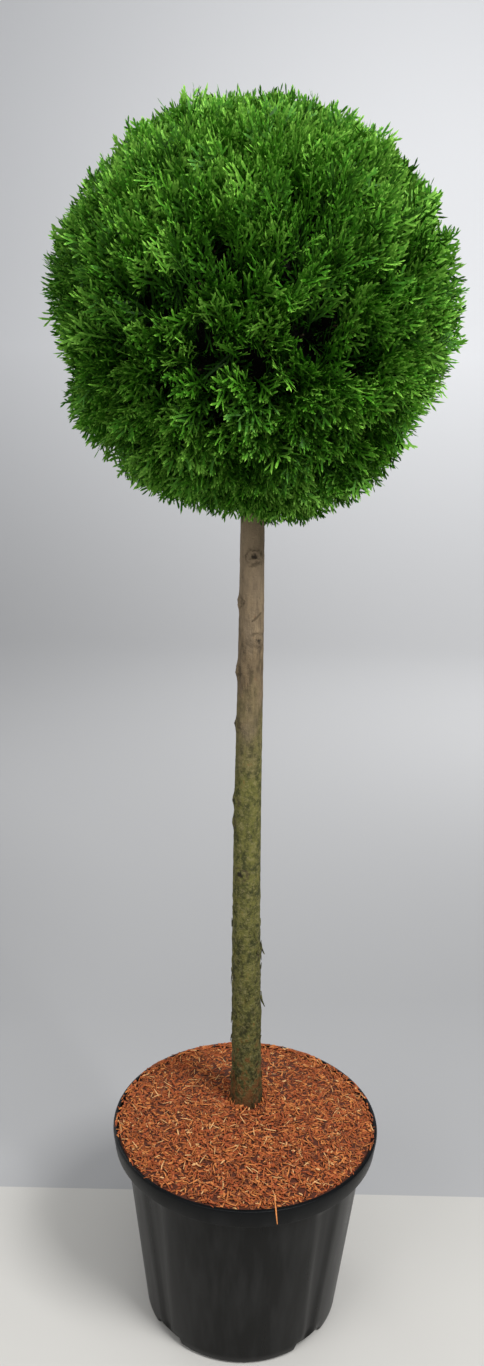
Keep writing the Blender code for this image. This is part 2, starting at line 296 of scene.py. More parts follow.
class Finish:
    """A material: the nodes that are added, and the Principled shader that they feed."""

    def __init__(self, name, roughness=0.5, gloss=0.5):
        self.material = bpy.data.materials.new(name)
        self.material.use_nodes = True
        self.tree = self.material.node_tree
        self.shader = self.tree.nodes["Principled BSDF"]
        self.shader.inputs["Roughness"].default_value = roughness
        self.shader.inputs["Specular IOR Level"].default_value = gloss

    def feed(self, socket, value):
        if isinstance(value, Value):
            self.tree.links.new(value.socket, socket)
        else:
            socket.default_value = value

    def add(self, kind, settings=None, inputs=(), output=0):
        """One node of this kind: its settings first, then what its inputs hold or are linked to."""
        node = self.tree.nodes.new(kind)
        for setting, value in (settings or {}).items():
            setattr(node, setting, value)
        named = inputs.items() if isinstance(inputs, dict) else enumerate(inputs)
        for key, value in named:
            self.feed(node.inputs[key], value)
        return Value(self, node.outputs[output])

    def place(self, scale=(1, 1, 1)):
        """Object coordinates, stretched."""
        where = self.add("ShaderNodeTexCoord", output="Object")
        return self.add("ShaderNodeMapping", inputs={"Vector": where, "Scale": scale})

    def height(self):
        return self.add("ShaderNodeSeparateXYZ", inputs=(self.place(),), output="Z")

    def distance(self, where, point):
        return self.add("ShaderNodeVectorMath", {"operation": "DISTANCE"}, (where, point), output="Value")

    def grain(self, size, detail=3.0, roughness=0.55, stretch=(1, 1, 1)):
        """Noise from 0 to 1 whose features are about this size."""
        inputs = {"Vector": self.place(stretch), "Scale": 1 / size, "Detail": detail, "Roughness": roughness}
        return self.add("ShaderNodeTexNoise", inputs=inputs)

    def spread(self, value, low, high, to_low=0.0, to_high=1.0):
        """The value stretched from low..high to to_low..to_high, held at the ends."""
        return self.add("ShaderNodeMapRange", inputs=(value, low, high, to_low, to_high))

    def blend(self, share, first, second):
        """From the first colour at 0 to the second at 1."""
        inputs = {"Factor": share, MIX_FIRST: with_alpha(first), MIX_SECOND: with_alpha(second)}
        return self.add("ShaderNodeMix", {"data_type": "RGBA"}, inputs, output=MIX_RESULT)

    def colour(self, value):
        self.feed(self.shader.inputs["Base Color"], value)

    def roughness(self, value):
        self.feed(self.shader.inputs["Roughness"], value)

    def bump(self, height, distance, strength=1.0):
        inputs = {"Height": height, "Distance": distance, "Strength": strength}
        bumped = self.add("ShaderNodeBump", inputs=inputs)
        self.feed(self.shader.inputs["Normal"], bumped)


def with_alpha(colour):
    return colour if isinstance(colour, Value) else (*colour, 1)


def mixed(first, second, share):
    """A plain colour between two, worked out in Python."""
    return tuple(a + (b - a) * share for a, b in zip(first, second))


def plastic_finish(settings):
    """Moulded plastic: charcoal with faint scuffs; darker and bluer at the rim, which is painted shade with a
    painted bluish reflection.
    """
    finish = Finish("pot_plastic", gloss=0.13)
    scuffs = finish.grain(0.020, detail=5, stretch=(1, 1, 0.12))
    # Painted shade with a painted bluish reflection: from just under the collar up to the rim the plastic
    # blends to the darker, bluer rim colour.
    rim_shade_share = finish.spread(finish.height(), COLLAR_FOOT - 0.01, settings.height)
    scuffed = mixed(settings.colour, (0.05, 0.05, 0.05), 0.4)
    plain = finish.blend(finish.spread(scuffs, 0.45, 0.8), settings.colour, scuffed)
    finish.colour(finish.blend(rim_shade_share, plain, settings.rim_shade_colour))
    finish.roughness(finish.spread(scuffs, 0.3, 0.8, 0.26, 0.42))
    finish.bump(finish.grain(0.0012, detail=2), 0.0001, 0.5)
    return finish.material


def grainy_finish(name, size, detail, dark, light, span=(0, 1), rough=(0.7, 0.9), depth=0.0004, gloss=0.5):
    """One grain that is seen in the colour, the roughness and the relief."""
    finish = Finish(name, gloss=gloss)
    grain = finish.grain(size, detail=detail)
    finish.colour(finish.blend(finish.spread(grain, *span), dark, light))
    finish.roughness(finish.spread(grain, 0.2, 0.8, *rough))
    finish.bump(grain, depth)
    return finish.material


def soil_finish():
    dark = (0.012, 0.008, 0.005)
    light = (0.06, 0.038, 0.022)
    return grainy_finish("potting_soil", 0.004, 6, dark, light, rough=(0.8, 1.0), depth=0.002)


def mulch_bed_finish(settings):
    dark = mixed(settings.bed_colour, BLACK, 0.5)
    return grainy_finish("mulch_bed", 0.003, 5, dark, settings.bed_colour, rough=(0.85, 1.0), depth=0.0015)


def shred_finish(name, colour):
    """Torn bark fibre: fine streaks and a dry, rough surface."""
    dark = mixed(colour, BLACK, 0.38)
    light = mixed(colour, (1, 0.75, 0.5), 0.10)
    return grainy_finish(name, 0.0016, 4, dark, light, span=(0.3, 0.75), rough=(0.72, 0.95), gloss=0.12)


def twig_finish():
    return grainy_finish("twig_bark", 0.003, 3, (0.035, 0.02, 0.012), (0.12, 0.075, 0.04))


def bark_finish(settings):
    """Dry brown bark above, a green film of algae from half-way down, rougher and darker towards the foot."""
    finish = Finish("stem_bark", gloss=0.3)
    height = finish.height()
    patches = finish.grain(0.024, detail=4, stretch=(1, 1, 0.5))
    streaks = finish.grain(0.005, detail=6, roughness=0.65, stretch=(1, 1, 0.25))
    mottle = finish.grain(0.008, detail=6, roughness=0.72, stretch=(1, 1, 0.7))
    flecks = finish.grain(0.0040, detail=5, roughness=0.75, stretch=(0.75, 0.75, 1))
    dark_bark = mixed(settings.bark_colour, (0.03, 0.02, 0.012), 0.62)
    dark_algae = mixed(settings.algae_colour, (0.016, 0.022, 0.005), 0.82)
    dry = finish.blend(finish.spread(streaks, 0.38, 0.60), dark_bark, settings.bark_colour)
    dry = finish.blend(finish.spread(patches, 0.5, 0.8) * 0.6, dry, (0.26, 0.20, 0.135))
    green = finish.blend(finish.spread(mottle, 0.40, 0.58), dark_algae, settings.algae_colour)
    green = finish.blend(finish.spread(flecks, 0.50, 0.68) * 0.75, green, (0.27, 0.235, 0.10))
    # Painted light: the bark grows paler towards the top, under the ball, in place of light that the ball's
    # shadow takes away.
    dry = finish.blend(finish.spread(height, 0.84, 0.97) * 0.6, dry, (0.33, 0.25, 0.165))
    algae = finish.spread(height + patches * 0.16 + mottle * 0.08, 0.935, 0.815)
    skin = finish.blend(algae, dry, green)
    low = finish.spread(height, 0.60, 0.34)
    cracks = finish.spread(flecks + streaks * 0.5 - low * 0.06, 0.66, 0.52)
    skin = finish.blend(cracks * (low * 0.7 + 0.3), skin, (0.028, 0.020, 0.008))
    rusty = finish.spread(mottle + finish.spread(height, 0.40, 0.28, -0.09, 0.11), 0.54, 0.64)
    skin = finish.blend(rusty * 0.8, skin, (0.19, 0.062, 0.018))
    eye_shade, rims = knot_marks(finish)
    skin = finish.blend(rims * 0.7, skin, (0.055, 0.038, 0.020))
    # Painted shade: the dented eye of each knot is drawn near-black.
    skin = finish.blend(eye_shade * 0.9, skin, (0.010, 0.007, 0.004))
    damp = finish.spread(height + patches * 0.05, 0.312, 0.276)
    finish.colour(finish.blend(damp * 0.8, skin, (0.022, 0.012, 0.006)))
    finish.roughness(finish.spread(damp, 0, 1, 0.82, 0.45))
    finish.bump(streaks * 0.6 + flecks * (low + 0.5) + mottle * low, 0.0030, 1.0)
    return finish.material


def on_bark(height, turn):
    """The point of the stem's surface at a height, in a direction in degrees."""
    return stem_axis(height) + side_of_stem(turn) * stem_radius(height)


def knot_marks(finish):
    """The near-black eye in the dented middle of each knot, which is painted shade, and the broken dark
    crease round it.
    """
    squeezed = finish.place((1, 1, 1.2))
    wobble = finish.grain(0.006, detail=4, roughness=0.7)
    broken = finish.spread(finish.grain(0.007, detail=2), 0.40, 0.56)
    eye_shade = 0.0
    rims = 0.0
    for height, turn, _ in KNOTS:
        centre = on_bark(height, turn)
        centre.z *= 1.2
        away = finish.distance(squeezed, centre) + wobble * 0.014
        eye_shade = finish.spread(away, 0.0120, 0.0092) + eye_shade
        rims = finish.spread(away, 0.0140, 0.0164) * finish.spread(away, 0.0200, 0.0172) + rims
    rims = rims * (broken * 0.8 + 0.2)
    scar = finish.spread(scar_distance(finish) + wobble * 0.0006, 0.0010, 0.0005)
    return eye_shade, scar + rims


def scar_distance(finish):
    """Distance from the line between the scar's ends: the sum of both distances, less their span."""
    upper, lower = (on_bark(height, turn) for height, turn in SCAR)
    where = finish.place()
    return finish.distance(where, upper) + finish.distance(where, lower) - (upper - lower).length


def inside_shade_finish():
    """Painted shade: near-black for the deep shade inside the ball, with brown flecks of dead foliage."""
    finish = Finish("shaded_inside", roughness=0.9, gloss=0.2)
    flecks = finish.grain(0.004, detail=5, roughness=0.7)
    share = finish.spread(flecks, 0.45, 0.75)
    finish.colour(finish.blend(share, (0.0015, 0.0020, 0.0010), (0.010, 0.007, 0.004)))
    finish.bump(flecks, 0.004)
    return finish.material


def spray_finish(name, colour):
    """Scale leaves in one green, with the slight unevenness of overlapping scales."""
    finish = Finish(name, roughness=0.55, gloss=0.14)
    scales = finish.spread(finish.grain(0.0022, detail=2), 0.35, 0.7)
    finish.colour(finish.blend(scales, mixed(colour, BLACK, 0.3), mixed(colour, (0.35, 0.9, 0.05), 0.04)))
    return finish.material


def deselect():
    bpy.ops.object.select_all(action="DESELECT")


def lofted(name, sides, stations, fill="NGON"):
    """A new mesh in edit mode: a ring for each station's radius and centre, with faces from ring to ring."""
    radius, centre = stations[0]
    deselect()
    bpy.ops.mesh.primitive_circle_add(vertices=sides, radius=radius, fill_type=fill, location=centre)
    made = bpy.context.object
    made.name = made.data.name = name
    bpy.ops.object.transform_apply(location=True, rotation=False, scale=False)
    bpy.ops.object.mode_set(mode="EDIT")
    bpy.ops.mesh.select_mode(type="VERT")
    bpy.ops.mesh.select_all(action="SELECT")
    for to_radius, to_centre in stations[1:]:
        bpy.ops.mesh.extrude_region_move(TRANSFORM_OT_translate={"value": to_centre - centre})
        factor = to_radius / radius
        bpy.ops.transform.resize(value=(factor, factor, 1), center_override=tuple(to_centre))
        radius, centre = to_radius, to_centre
    return made


def close_ring():
    """Draws the selected ring together in one point."""
    bpy.ops.mesh.extrude_region_move(TRANSFORM_OT_translate={"value": (0, 0, 0)})
    bpy.ops.mesh.merge(type="CENTER")


def select_points(made, test):
    """Selects the vertices that pass the test, and leaves the object in edit mode."""
    bpy.ops.mesh.select_all(action="DESELECT")
    bpy.ops.object.mode_set(mode="OBJECT")
    for point in made.data.vertices:
        point.select = test(point.co)
    bpy.ops.object.mode_set(mode="EDIT")


def finish_modelling(made, smooth_degrees):
    """Turns the faces outwards, leaves edit mode and shades by angle."""
    bpy.ops.mesh.select_all(action="SELECT")
    bpy.ops.mesh.normals_make_consistent(inside=False)
    bpy.ops.object.mode_set(mode="OBJECT")
    deselect()
    made.select_set(True)
    bpy.context.view_layer.objects.active = made
    bpy.ops.object.shade_smooth_by_angle(angle=math.radians(smooth_degrees))


def apply_modifier(made, kind, **settings):
    modifier = made.modifiers.new(kind.title(), kind)
    for setting, value in settings.items():
        setattr(modifier, setting, value)
    bpy.context.view_layer.objects.active = made
    bpy.ops.object.modifier_apply(modifier=modifier.name)


def relief(made, size, strength, group=""):
    """Pushes the surface in and out by clouds of this size."""
    clouds = bpy.data.textures.new(made.name + "_relief", "CLOUDS")
    clouds.noise_scale = size
    clouds.noise_depth = 3
    settings = {"texture": clouds, "texture_coords": "LOCAL", "strength": strength, "vertex_group": group}
    apply_modifier(made, "DISPLACE", **settings)


def settle(made, *nodes, material_slot):
    """The finished piece rides on the plant's one body and stands for its nodes."""
    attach(made, "root")
    if nodes:
        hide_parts(*nodes)


def lerp(a, b, share):
    return a + (b - a) * share


def off_flute(point):
    """Angle between a point and the middle of the nearest flute."""
    pitch = math.tau / FLUTE_COUNT
    return (math.atan2(point.y, point.x) - math.pi / 4 - FLUTE_TURN + pitch / 2) % pitch - pitch / 2


def wall_radius(height):
    return lerp(WALL_FOOT_RADIUS, WALL_TOP_RADIUS, height / COLLAR_FOOT)


def stem_axis(height):
    """The stem's centre at a height: a slight lean with a slow sweep in it."""
    t = (height - TRUNK_FOOT.z) / (TRUNK_TIP.z - TRUNK_FOOT.z)
    sweep = 0.0022 * math.sin(math.pi * t) * math.sin(5.2 * t)
    point = TRUNK_FOOT.lerp(TRUNK_TIP, t)
    return Vector((point.x - sweep, point.y + 0.5 * sweep, height))


def side_of_stem(turn):
    """Outward direction for an angle in degrees, from the front towards the right."""
    return Vector((math.sin(math.radians(turn)), -math.cos(math.radians(turn)), 0))


def stem_radius(height):
    for (low, wide), (high, slim) in zip(TRUNK_TAPER, TRUNK_TAPER[1:]):
        if height <= high:
            return lerp(wide, slim, max(0.0, (height - low) / (high - low)))
    return TRUNK_TAPER[-1][1]


def even_directions(count):
    """Even directions over a ball, by the golden angle."""
    golden = math.pi * (3 - math.sqrt(5))
    steps = np.arange(count)
    z = 1 - (2 * steps + 1) / count
    flat = np.sqrt(1 - z * z)
    return np.stack([flat * np.cos(golden * steps), flat * np.sin(golden * steps), z], axis=1)


class Strips:
    """Flat strips that are gathered one at a time."""

    def __init__(self):
        self.points = []
        self.triangles = []
        self.tints = []

    def add(self, line, widths, across, tints):
        """A flat strip along a line of points, which ends in a tip."""
        start = len(self.points)
        for point, width in zip(line[:-1], widths):
            self.points.append(point - across * width / 2)
            self.points.append(point + across * width / 2)
        self.points.append(line[-1])
        for k in range(len(line) - 2):
            a = start + 2 * k
            self.triangles += [(a, a + 1, a + 3), (a, a + 3, a + 2)]
            self.tints += [tints[k]] * 2
        last = len(self.points) - 1
        self.triangles.append((last - 2, last - 1, last))
        self.tints.append(tints[-1])

    def arrays(self):
        return np.array(self.points, float), np.array(self.triangles), np.array(self.tints)


def tube(line, radii, sides):
    """A tapering tube along a line of points, closed at both ends: its points, triangles and tints."""
    points = []
    triangles = []
    for place, (point, radius) in enumerate(zip(line, radii)):
        ahead = line[min(place + 1, len(line) - 1)] - line[max(place - 1, 0)]
        turn = ahead.to_track_quat("Z", "Y")
        for side in range(sides):
            angle = math.tau * side / sides
            points.append(point + turn @ Vector((math.cos(angle), math.sin(angle), 0)) * radius)
    end = (len(line) - 1) * sides
    for start in range(0, end, sides):
        for side in range(sides):
            a = start + side
            b = start + (side + 1) % sides
            triangles += [(a, b, b + sides), (a, b + sides, a + sides)]
    for side in range(1, sides - 1):
        triangles += [(0, side + 1, side), (end, end + side, end + side + 1)]
    return np.array(points, float), np.array(triangles), np.zeros(len(triangles), int)


def joined_mesh(name, copies, finishes, smooth=False):
    """One object from copies of small shapes: each has points, triangles and a finish for each triangle."""
    points = []
    triangles = []
    slots = []
    count = 0
    for copy_points, copy_triangles, copy_slots in copies:
        points.append(copy_points)
        triangles.append(copy_triangles + count)
        slots.append(copy_slots)
        count += len(copy_points)
    mesh = bpy.data.meshes.new(name)
    mesh.from_pydata(np.concatenate(points).tolist(), [], np.concatenate(triangles).tolist())
    for finish in finishes:
        mesh.materials.append(finish)
    mesh.polygons.foreach_set("material_index", np.concatenate(slots).astype(np.int32))
    mesh.polygons.foreach_set("use_smooth", [smooth] * len(mesh.polygons))
    mesh.update()
    made = bpy.data.objects.new(name, mesh)
    bpy.context.scene.collection.objects.link(made)
    return made


def put(points, axis, normal, place):
    """The points turned, with their Y along axis and their Z near normal, and moved to their place."""
    y = axis.normalized()
    x = y.cross(normal).normalized()
    return points @ np.array((x, y, x.cross(y))) + np.array(place)


def jitter(rng, size):
    """A random move, about this far each way."""
    return Vector([rng.gauss(0, size) for _ in range(3)])


class TOPIARY_OT_pot(Operator):
    """Models the nursery pot: notched foot, fluted wall, collar and rounded rim"""

    bl_idname = "topiary.pot"
    bl_label = "Pot"

    def execute(self, context):
        settings = context.scene.topiary_pot
        top = settings.height
        outer = settings.rim_radius
        inner = outer - settings.rim_width
        wall = POT_WALL + settings.flute_depth
        profile = [
            (NOTCH_INNER_RADIUS - POT_WALL, 0), (NOTCH_INNER_RADIUS, 0), (FOOT_RADIUS, 0),
            *((wall_radius(height), height) for height in (FOOT_EDGE, *WALL_RINGS, FLUTE_HEAD)),
            (WALL_TOP_RADIUS, COLLAR_FOOT), (COLLAR_RADIUS - 0.002, COLLAR_FOOT),
            (COLLAR_RADIUS, COLLAR_FOOT + 0.0015), (outer, top - 0.0035), (outer - 0.0008, top - 0.0008),
            (outer - 0.0022, top), (inner + 0.001, top), (inner, top - 0.001),
            (inner, COLLAR_FOOT + POT_WALL), (WALL_TOP_RADIUS - POT_WALL, COLLAR_FOOT),
            *((wall_radius(height) - wall, height) for height in (FLUTE_HEAD, FLOOR_TOP)),
        ]
        stations = [(radius, UP * height) for radius, height in profile]
        pot = lofted("nursery_pot", settings.segments, stations)
        close_ring()
        self.lift_notches(pot, settings)
        finish_modelling(pot, 32)
        self.draw_flutes(pot, settings)
        crease = math.radians(38)
        apply_modifier(pot, "BEVEL", width=0.0007, segments=2, limit_method="ANGLE", angle_limit=crease)
        pot.data.materials.append(plastic_finish(settings))
        settle(pot, "pot", material_slot="pot")
        return {"FINISHED"}

    def draw_flutes(self, pot, settings):
        """Draws the wall in along the flutes, which narrow towards the foot."""
        flutes = pot.vertex_groups.new(name="flutes")
        for point in pot.data.vertices:
            place = point.co
            outer = math.hypot(place.x, place.y) > wall_radius(place.z) - 0.0005
            if not outer or not FOOT_EDGE < place.z < FLUTE_HEAD - 0.001:
                continue
            share = place.z / FLUTE_TOP
            width = settings.flute_half_width * lerp(0.48, 1, share)
            flank = math.radians(lerp(2.2, 4.6, share))
            depth = min(1.0, max(0.0, (width - abs(off_flute(place))) / flank))
            if depth > 0:
                flutes.add([point.index], depth, "REPLACE")
        apply_modifier(pot, "DISPLACE", strength=-settings.flute_depth, mid_level=0, vertex_group="flutes")

    def lift_notches(self, pot, settings):
        """Lifts the foot's edge where the drain notches are."""

        def on_edge(point):
            low = point.z < FOOT_EDGE + 0.0005 and math.hypot(point.x, point.y) > NOTCH_INNER_RADIUS - 0.001
            return low and abs(off_flute(point)) < settings.notch_half_width

        select_points(pot, on_edge)
        bpy.ops.transform.translate(value=(0, 0, settings.notch_height))


class TOPIARY_OT_soil(Operator):
    """Gives the root ball under the mulch its soil"""

    bl_idname = "topiary.soil"
    bl_label = "Soil"

    def execute(self, context):
        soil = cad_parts["root_ball"]
        soil.data.materials.clear()
        soil.data.materials.append(soil_finish())
        return {"FINISHED"}


class TOPIARY_OT_mulch_bed(Operator):
    """Models the low dome that the shreds of bark lie on"""

    bl_idname = "topiary.mulch_bed"
    bl_label = "Mulch bed"

    def execute(self, context):
        settings = context.scene.topiary_mulch
        pot = context.scene.topiary_pot
        floor = TRUNK_FOOT.z
        wall = WALL_TOP_RADIUS - POT_WALL - WALL_GAP
        edge = pot.rim_radius - pot.rim_width - RIM_GAP
        top = settings.edge_height + settings.dome
        centre = stem_axis(top)
        hole = stem_radius(top) + RIM_GAP
        stations = [
            (stem_radius(floor) + WALL_GAP, stem_axis(floor)), (wall, UP * floor), (wall, UP * COLLAR_FOOT),
            (edge, UP * (COLLAR_FOOT + POT_WALL + 0.0003)), (edge, UP * (settings.edge_height - 0.004)),
        ]
        for step in range(BED_RINGS, -1, -1):
            share = step / BED_RINGS
            height = dome_height(settings, share) - BED_SINK
            middle = Vector((centre.x * (1 - share), centre.y * (1 - share), height))
            stations.append((lerp(hole, edge, share), middle))
        bed = lofted("mulch_bed", BED_SIDES, stations, fill="NOTHING")
        bpy.ops.mesh.select_all(action="DESELECT")
        bpy.ops.mesh.select_non_manifold()
        bpy.ops.mesh.bridge_edge_loops()
        finish_modelling(bed, 50)
        relief(bed, 0.012, 0.0016)
        bed.data.materials.append(mulch_bed_finish(settings))
        settle(bed, "bark_mulch", material_slot="bark_mulch")
        return {"FINISHED"}


def dome_height(settings, share):
    """Height of the mulch: share runs from 0 at the stem to 1 at the rim."""
    return settings.edge_height + settings.dome * (1 - share**2)


def shred_form(rng, length, width, thickness):
    """A torn shred: a bent three-sided sliver that narrows towards both ends."""
    bend = rng.uniform(-0.06, 0.06) * length
    lift = rng.uniform(0, 0.05) * length
    line = [Vector((0, -length / 2, 0)), Vector((bend, 0, lift)), Vector((0, length / 2, 0))]
    points, triangles, tints = tube(line, (width * 0.34, width / 2, width * 0.24), 3)
    points[:, 2] *= thickness / width
    return points, triangles, tints


class TOPIARY_OT_shreds(Operator):
    """Strews shredded bark over the bed, round the stem and out to the rim"""

    bl_idname = "topiary.shreds"
    bl_label = "Shredded bark"

    def execute(self, context):
        settings = context.scene.topiary_mulch
        pot = context.scene.topiary_pot
        rng = random.Random(settings.seed)
        forms = [self.form(rng, settings, kind) for kind in SHRED_KINDS * FORMS_OF_A_KIND]
        slivers = forms[len(SHRED_KINDS) - 1 :: len(SHRED_KINDS)]
        edge = pot.rim_radius - pot.rim_width - 0.001
        lip = pot.rim_radius - 0.0015
        copies = [self.strewn(rng, settings, forms, edge) for _ in range(settings.shred_count)]
        copies += [self.on_rim(rng, settings, forms, lip) for _ in range(settings.rim_shred_count)]
        copies += [self.against_stem(rng, settings, forms) for _ in range(settings.leaning_count)]
        copies += [self.pale_sliver(rng, settings, slivers, edge) for _ in range(settings.sliver_count)]
        copies.append(self.over_the_rim(rng, settings, pot))
        finishes = [shred_finish(f"shred_{tint}", getattr(settings, tint)) for tint in SHRED_TINTS]
        made = joined_mesh("bark_shreds", copies, finishes)
        settle(made, material_slot="bark_mulch")
        return {"FINISHED"}

    def form(self, rng, settings, kind):
        """One shape of its kind: mostly crumbs and short shreds, with a few long slivers."""
        shortest, longest, slimmest, widest = kind
        length = settings.shred_length * rng.uniform(shortest, longest)
        width = length * rng.uniform(slimmest, widest)
        return shred_form(rng, length, width, min(0.0016, width * 0.5))

    def tint(self, rng, count, place):
        """One colour for a whole shred. Paler and browner ones lie in loose patches."""
        pale = noise.noise(place * 42) + 0.5 * noise.noise(place * 110)
        weights = (34, 30, 20 - 22 * min(0.0, pale), 12 + 30 * max(0.0, pale), 3 + 6 * max(0.0, pale))
        return np.full(count, rng.choices(range(len(SHRED_TINTS)), weights)[0])

    def strewn(self, rng, settings, forms, edge):
        """One shred on the dome, more or less flat, clear of the stem and inside the rim."""
        centre = stem_axis(settings.edge_height + settings.dome)
        points, triangles, _ = rng.choice(forms)
        while True:
            share = math.sqrt(rng.random())
            angle = rng.uniform(0, math.tau)
            place = Vector((math.cos(angle), math.sin(angle), 0)) * edge * share
            place.z = dome_height(settings, share) + rng.uniform(-0.0022, 0.0007)
            yaw = rng.uniform(0, math.tau)
            along = Vector((math.cos(yaw), math.sin(yaw), rng.gauss(0, 0.18)))
            level = (UP + Vector((rng.gauss(0, 0.3), rng.gauss(0, 0.3), 0))).normalized()
            laid = put(points, along, level, place)
            reach = np.hypot(laid[:, 0], laid[:, 1]).max()
            berth = np.hypot(laid[:, 0] - centre.x, laid[:, 1] - centre.y).min()
            if reach < edge and berth > STEM_BERTH:
                return laid, triangles, self.tint(rng, len(triangles), place)

    def pale_sliver(self, rng, settings, slivers, edge):
        """One of the long, pale slivers that lie on top."""
        points, triangles, tints = self.strewn(rng, settings, slivers, edge)
        raised = points + np.array((0, 0, 0.0010))
        return raised, triangles, np.full(len(tints), rng.choice((TAN, PALE, PALE)))

    def on_rim(self, rng, settings, forms, lip):
        """One shred that lies on the rim, mostly at the back."""
        points, triangles, _ = rng.choice(forms)
        while True:
            angle = rng.choice((rng.gauss(math.pi / 2, 0.75), rng.uniform(0, math.tau)))
            place = Vector((math.cos(angle), math.sin(angle), 0)) * rng.uniform(lip - 0.008, lip - 0.001)
            if math.sin(angle) < -0.3 and rng.random() < 0.75:
                continue
            place.z = settings.edge_height + rng.uniform(0.0014, 0.0026)
            yaw = angle + math.pi / 2 + rng.gauss(0, 0.5)
            laid = put(points, Vector((math.cos(yaw), math.sin(yaw), rng.gauss(0, 0.04))), UP, place)
            if np.hypot(laid[:, 0], laid[:, 1]).max() < lip:
                return laid, triangles, self.tint(rng, len(triangles), place)

    def against_stem(self, rng, settings, forms):
        """One shred that leans on the foot of the stem."""
        points, triangles, _ = rng.choice(forms)
        out = side_of_stem(rng.uniform(0, 360))
        height = settings.edge_height + settings.dome + rng.uniform(-0.001, 0.004)
        place = stem_axis(height) + out * (stem_radius(height) + rng.uniform(0.001, 0.003))
        along = UP * 0.8 - out * 0.5 + out.cross(UP) * rng.uniform(-1.6, 1.6)
        return put(points, along, out, place), triangles, self.tint(rng, len(triangles), place)

    def over_the_rim(self, rng, settings, pot):
        """The long sliver that hangs over the rim at the front, a little to the right."""
        right = 0.034
        lip = Vector((right, -math.sqrt(pot.rim_radius**2 - right**2), settings.edge_height + 0.003))
        points, triangles, _ = shred_form(rng, 0.030, 0.0022, 0.001)
        laid = put(points, Vector((0.10, -0.85, -0.52)), Vector((0, -0.5, 0.86)), lip)
        return laid, triangles, np.full(len(triangles), TAN)


class TOPIARY_OT_stem(Operator):
    """Models the bare stem: root flare, lean, taper, pruning knots and bark relief"""

    bl_idname = "topiary.stem"
    bl_label = "Stem"

    def execute(self, context):
        settings = context.scene.topiary_stem
        shares = [ring / settings.rings for ring in range(settings.rings + 1)]
        heights = [lerp(TRUNK_LOW.z, TRUNK_HIGH.z, share) for share in shares]
        stations = [(stem_radius(height), stem_axis(height)) for height in heights]
        stem = lofted("stem", settings.sides, stations)
        close_ring()
        for knot in KNOTS:
            self.raise_knot(stem, *knot)
        finish_modelling(stem, 60)
        rough = stem.vertex_groups.new(name="rough_bark")
        for point in stem.data.vertices:
            share = (0.66 - point.co.z) / 0.30
            rough.add([point.index], min(1.0, max(0.20, share)), "REPLACE")
        relief(stem, 0.010, settings.relief, group="rough_bark")
        relief(stem, 0.0035, settings.relief * 0.6, group="rough_bark")
        stem.data.materials.append(bark_finish(settings))
        settle(stem, "trunk", material_slot="trunk")
        return {"FINISHED"}

    def raise_knot(self, stem, height, turn, proud):
        """Pulls the bark out round one knot, and dents its middle."""
        centre = on_bark(height, turn)
        side = side_of_stem(turn)
        select_points(stem, lambda point: (point - centre).length < KNOT_RADIUS)
        bpy.ops.transform.translate(
            value=side * proud,
            use_proportional_edit=True,
            proportional_edit_falloff="SMOOTH",
            proportional_size=KNOT_SLOPE,
        )
        select_points(stem, lambda point: (point - centre - side * proud).length < EYE_RADIUS)
        bpy.ops.transform.translate(value=side * -EYE_DEPTH)


class TOPIARY_OT_flakes(Operator):
    """Lifts flakes and slivers of bark off the rough lower stem"""

    bl_idname = "topiary.flakes"
    bl_label = "Bark flakes"

    def execute(self, context):
        settings = context.scene.topiary_stem
        rng = random.Random(settings.seed)
        copies = [self.flake(rng) for _ in range(settings.flake_count)]
        copies += [self.hanging(height) for height in HANGING_SLIVERS]
        made = joined_mesh("bark_flakes", copies, [bpy.data.materials["stem_bark"]])
        settle(made, material_slot="trunk")
        return {"FINISHED"}

    def flake(self, rng):
        """One flake that curls away from the bark, more of them lower down."""
        height = TRUNK_LOW.z + 0.05 + 0.30 * rng.random() ** 1.3
        side = side_of_stem(rng.uniform(0, 360))
        place = stem_axis(height) + side * (stem_radius(height) + 0.0004)
        length = rng.uniform(0.005, 0.015)
        curl = rng.uniform(0.0004, 0.0045)
        lean = rng.uniform(-0.2, 0.2) * length
        line = [Vector((0, 0, 0)), Vector((lean, length / 2, curl * 0.3)), Vector((lean, length, curl))]
        points, triangles, tints = tube(line, (0.0014, 0.0016, 0.0005), 4)
        points[:, 2] *= 0.4
        up = UP * rng.choice((1, -1, -1)) + side.cross(UP) * rng.uniform(-0.35, 0.35)
        return put(points, up, side, place), triangles, tints

    def hanging(self, height):
        """One sliver that has come away on the right and hangs by its upper end."""
        side = side_of_stem(86)
        place = stem_axis(height + 0.006) + side * (stem_radius(height) + 0.0003)
        line = [Vector((0, 0, 0)), Vector((0, 0.007, 0.0012)), Vector((0.001, 0.014, 0.0050))]
        points, triangles, tints = tube(line, (0.0013, 0.0013, 0.0005), 4)
        return put(points, -UP, side, place), triangles, tints


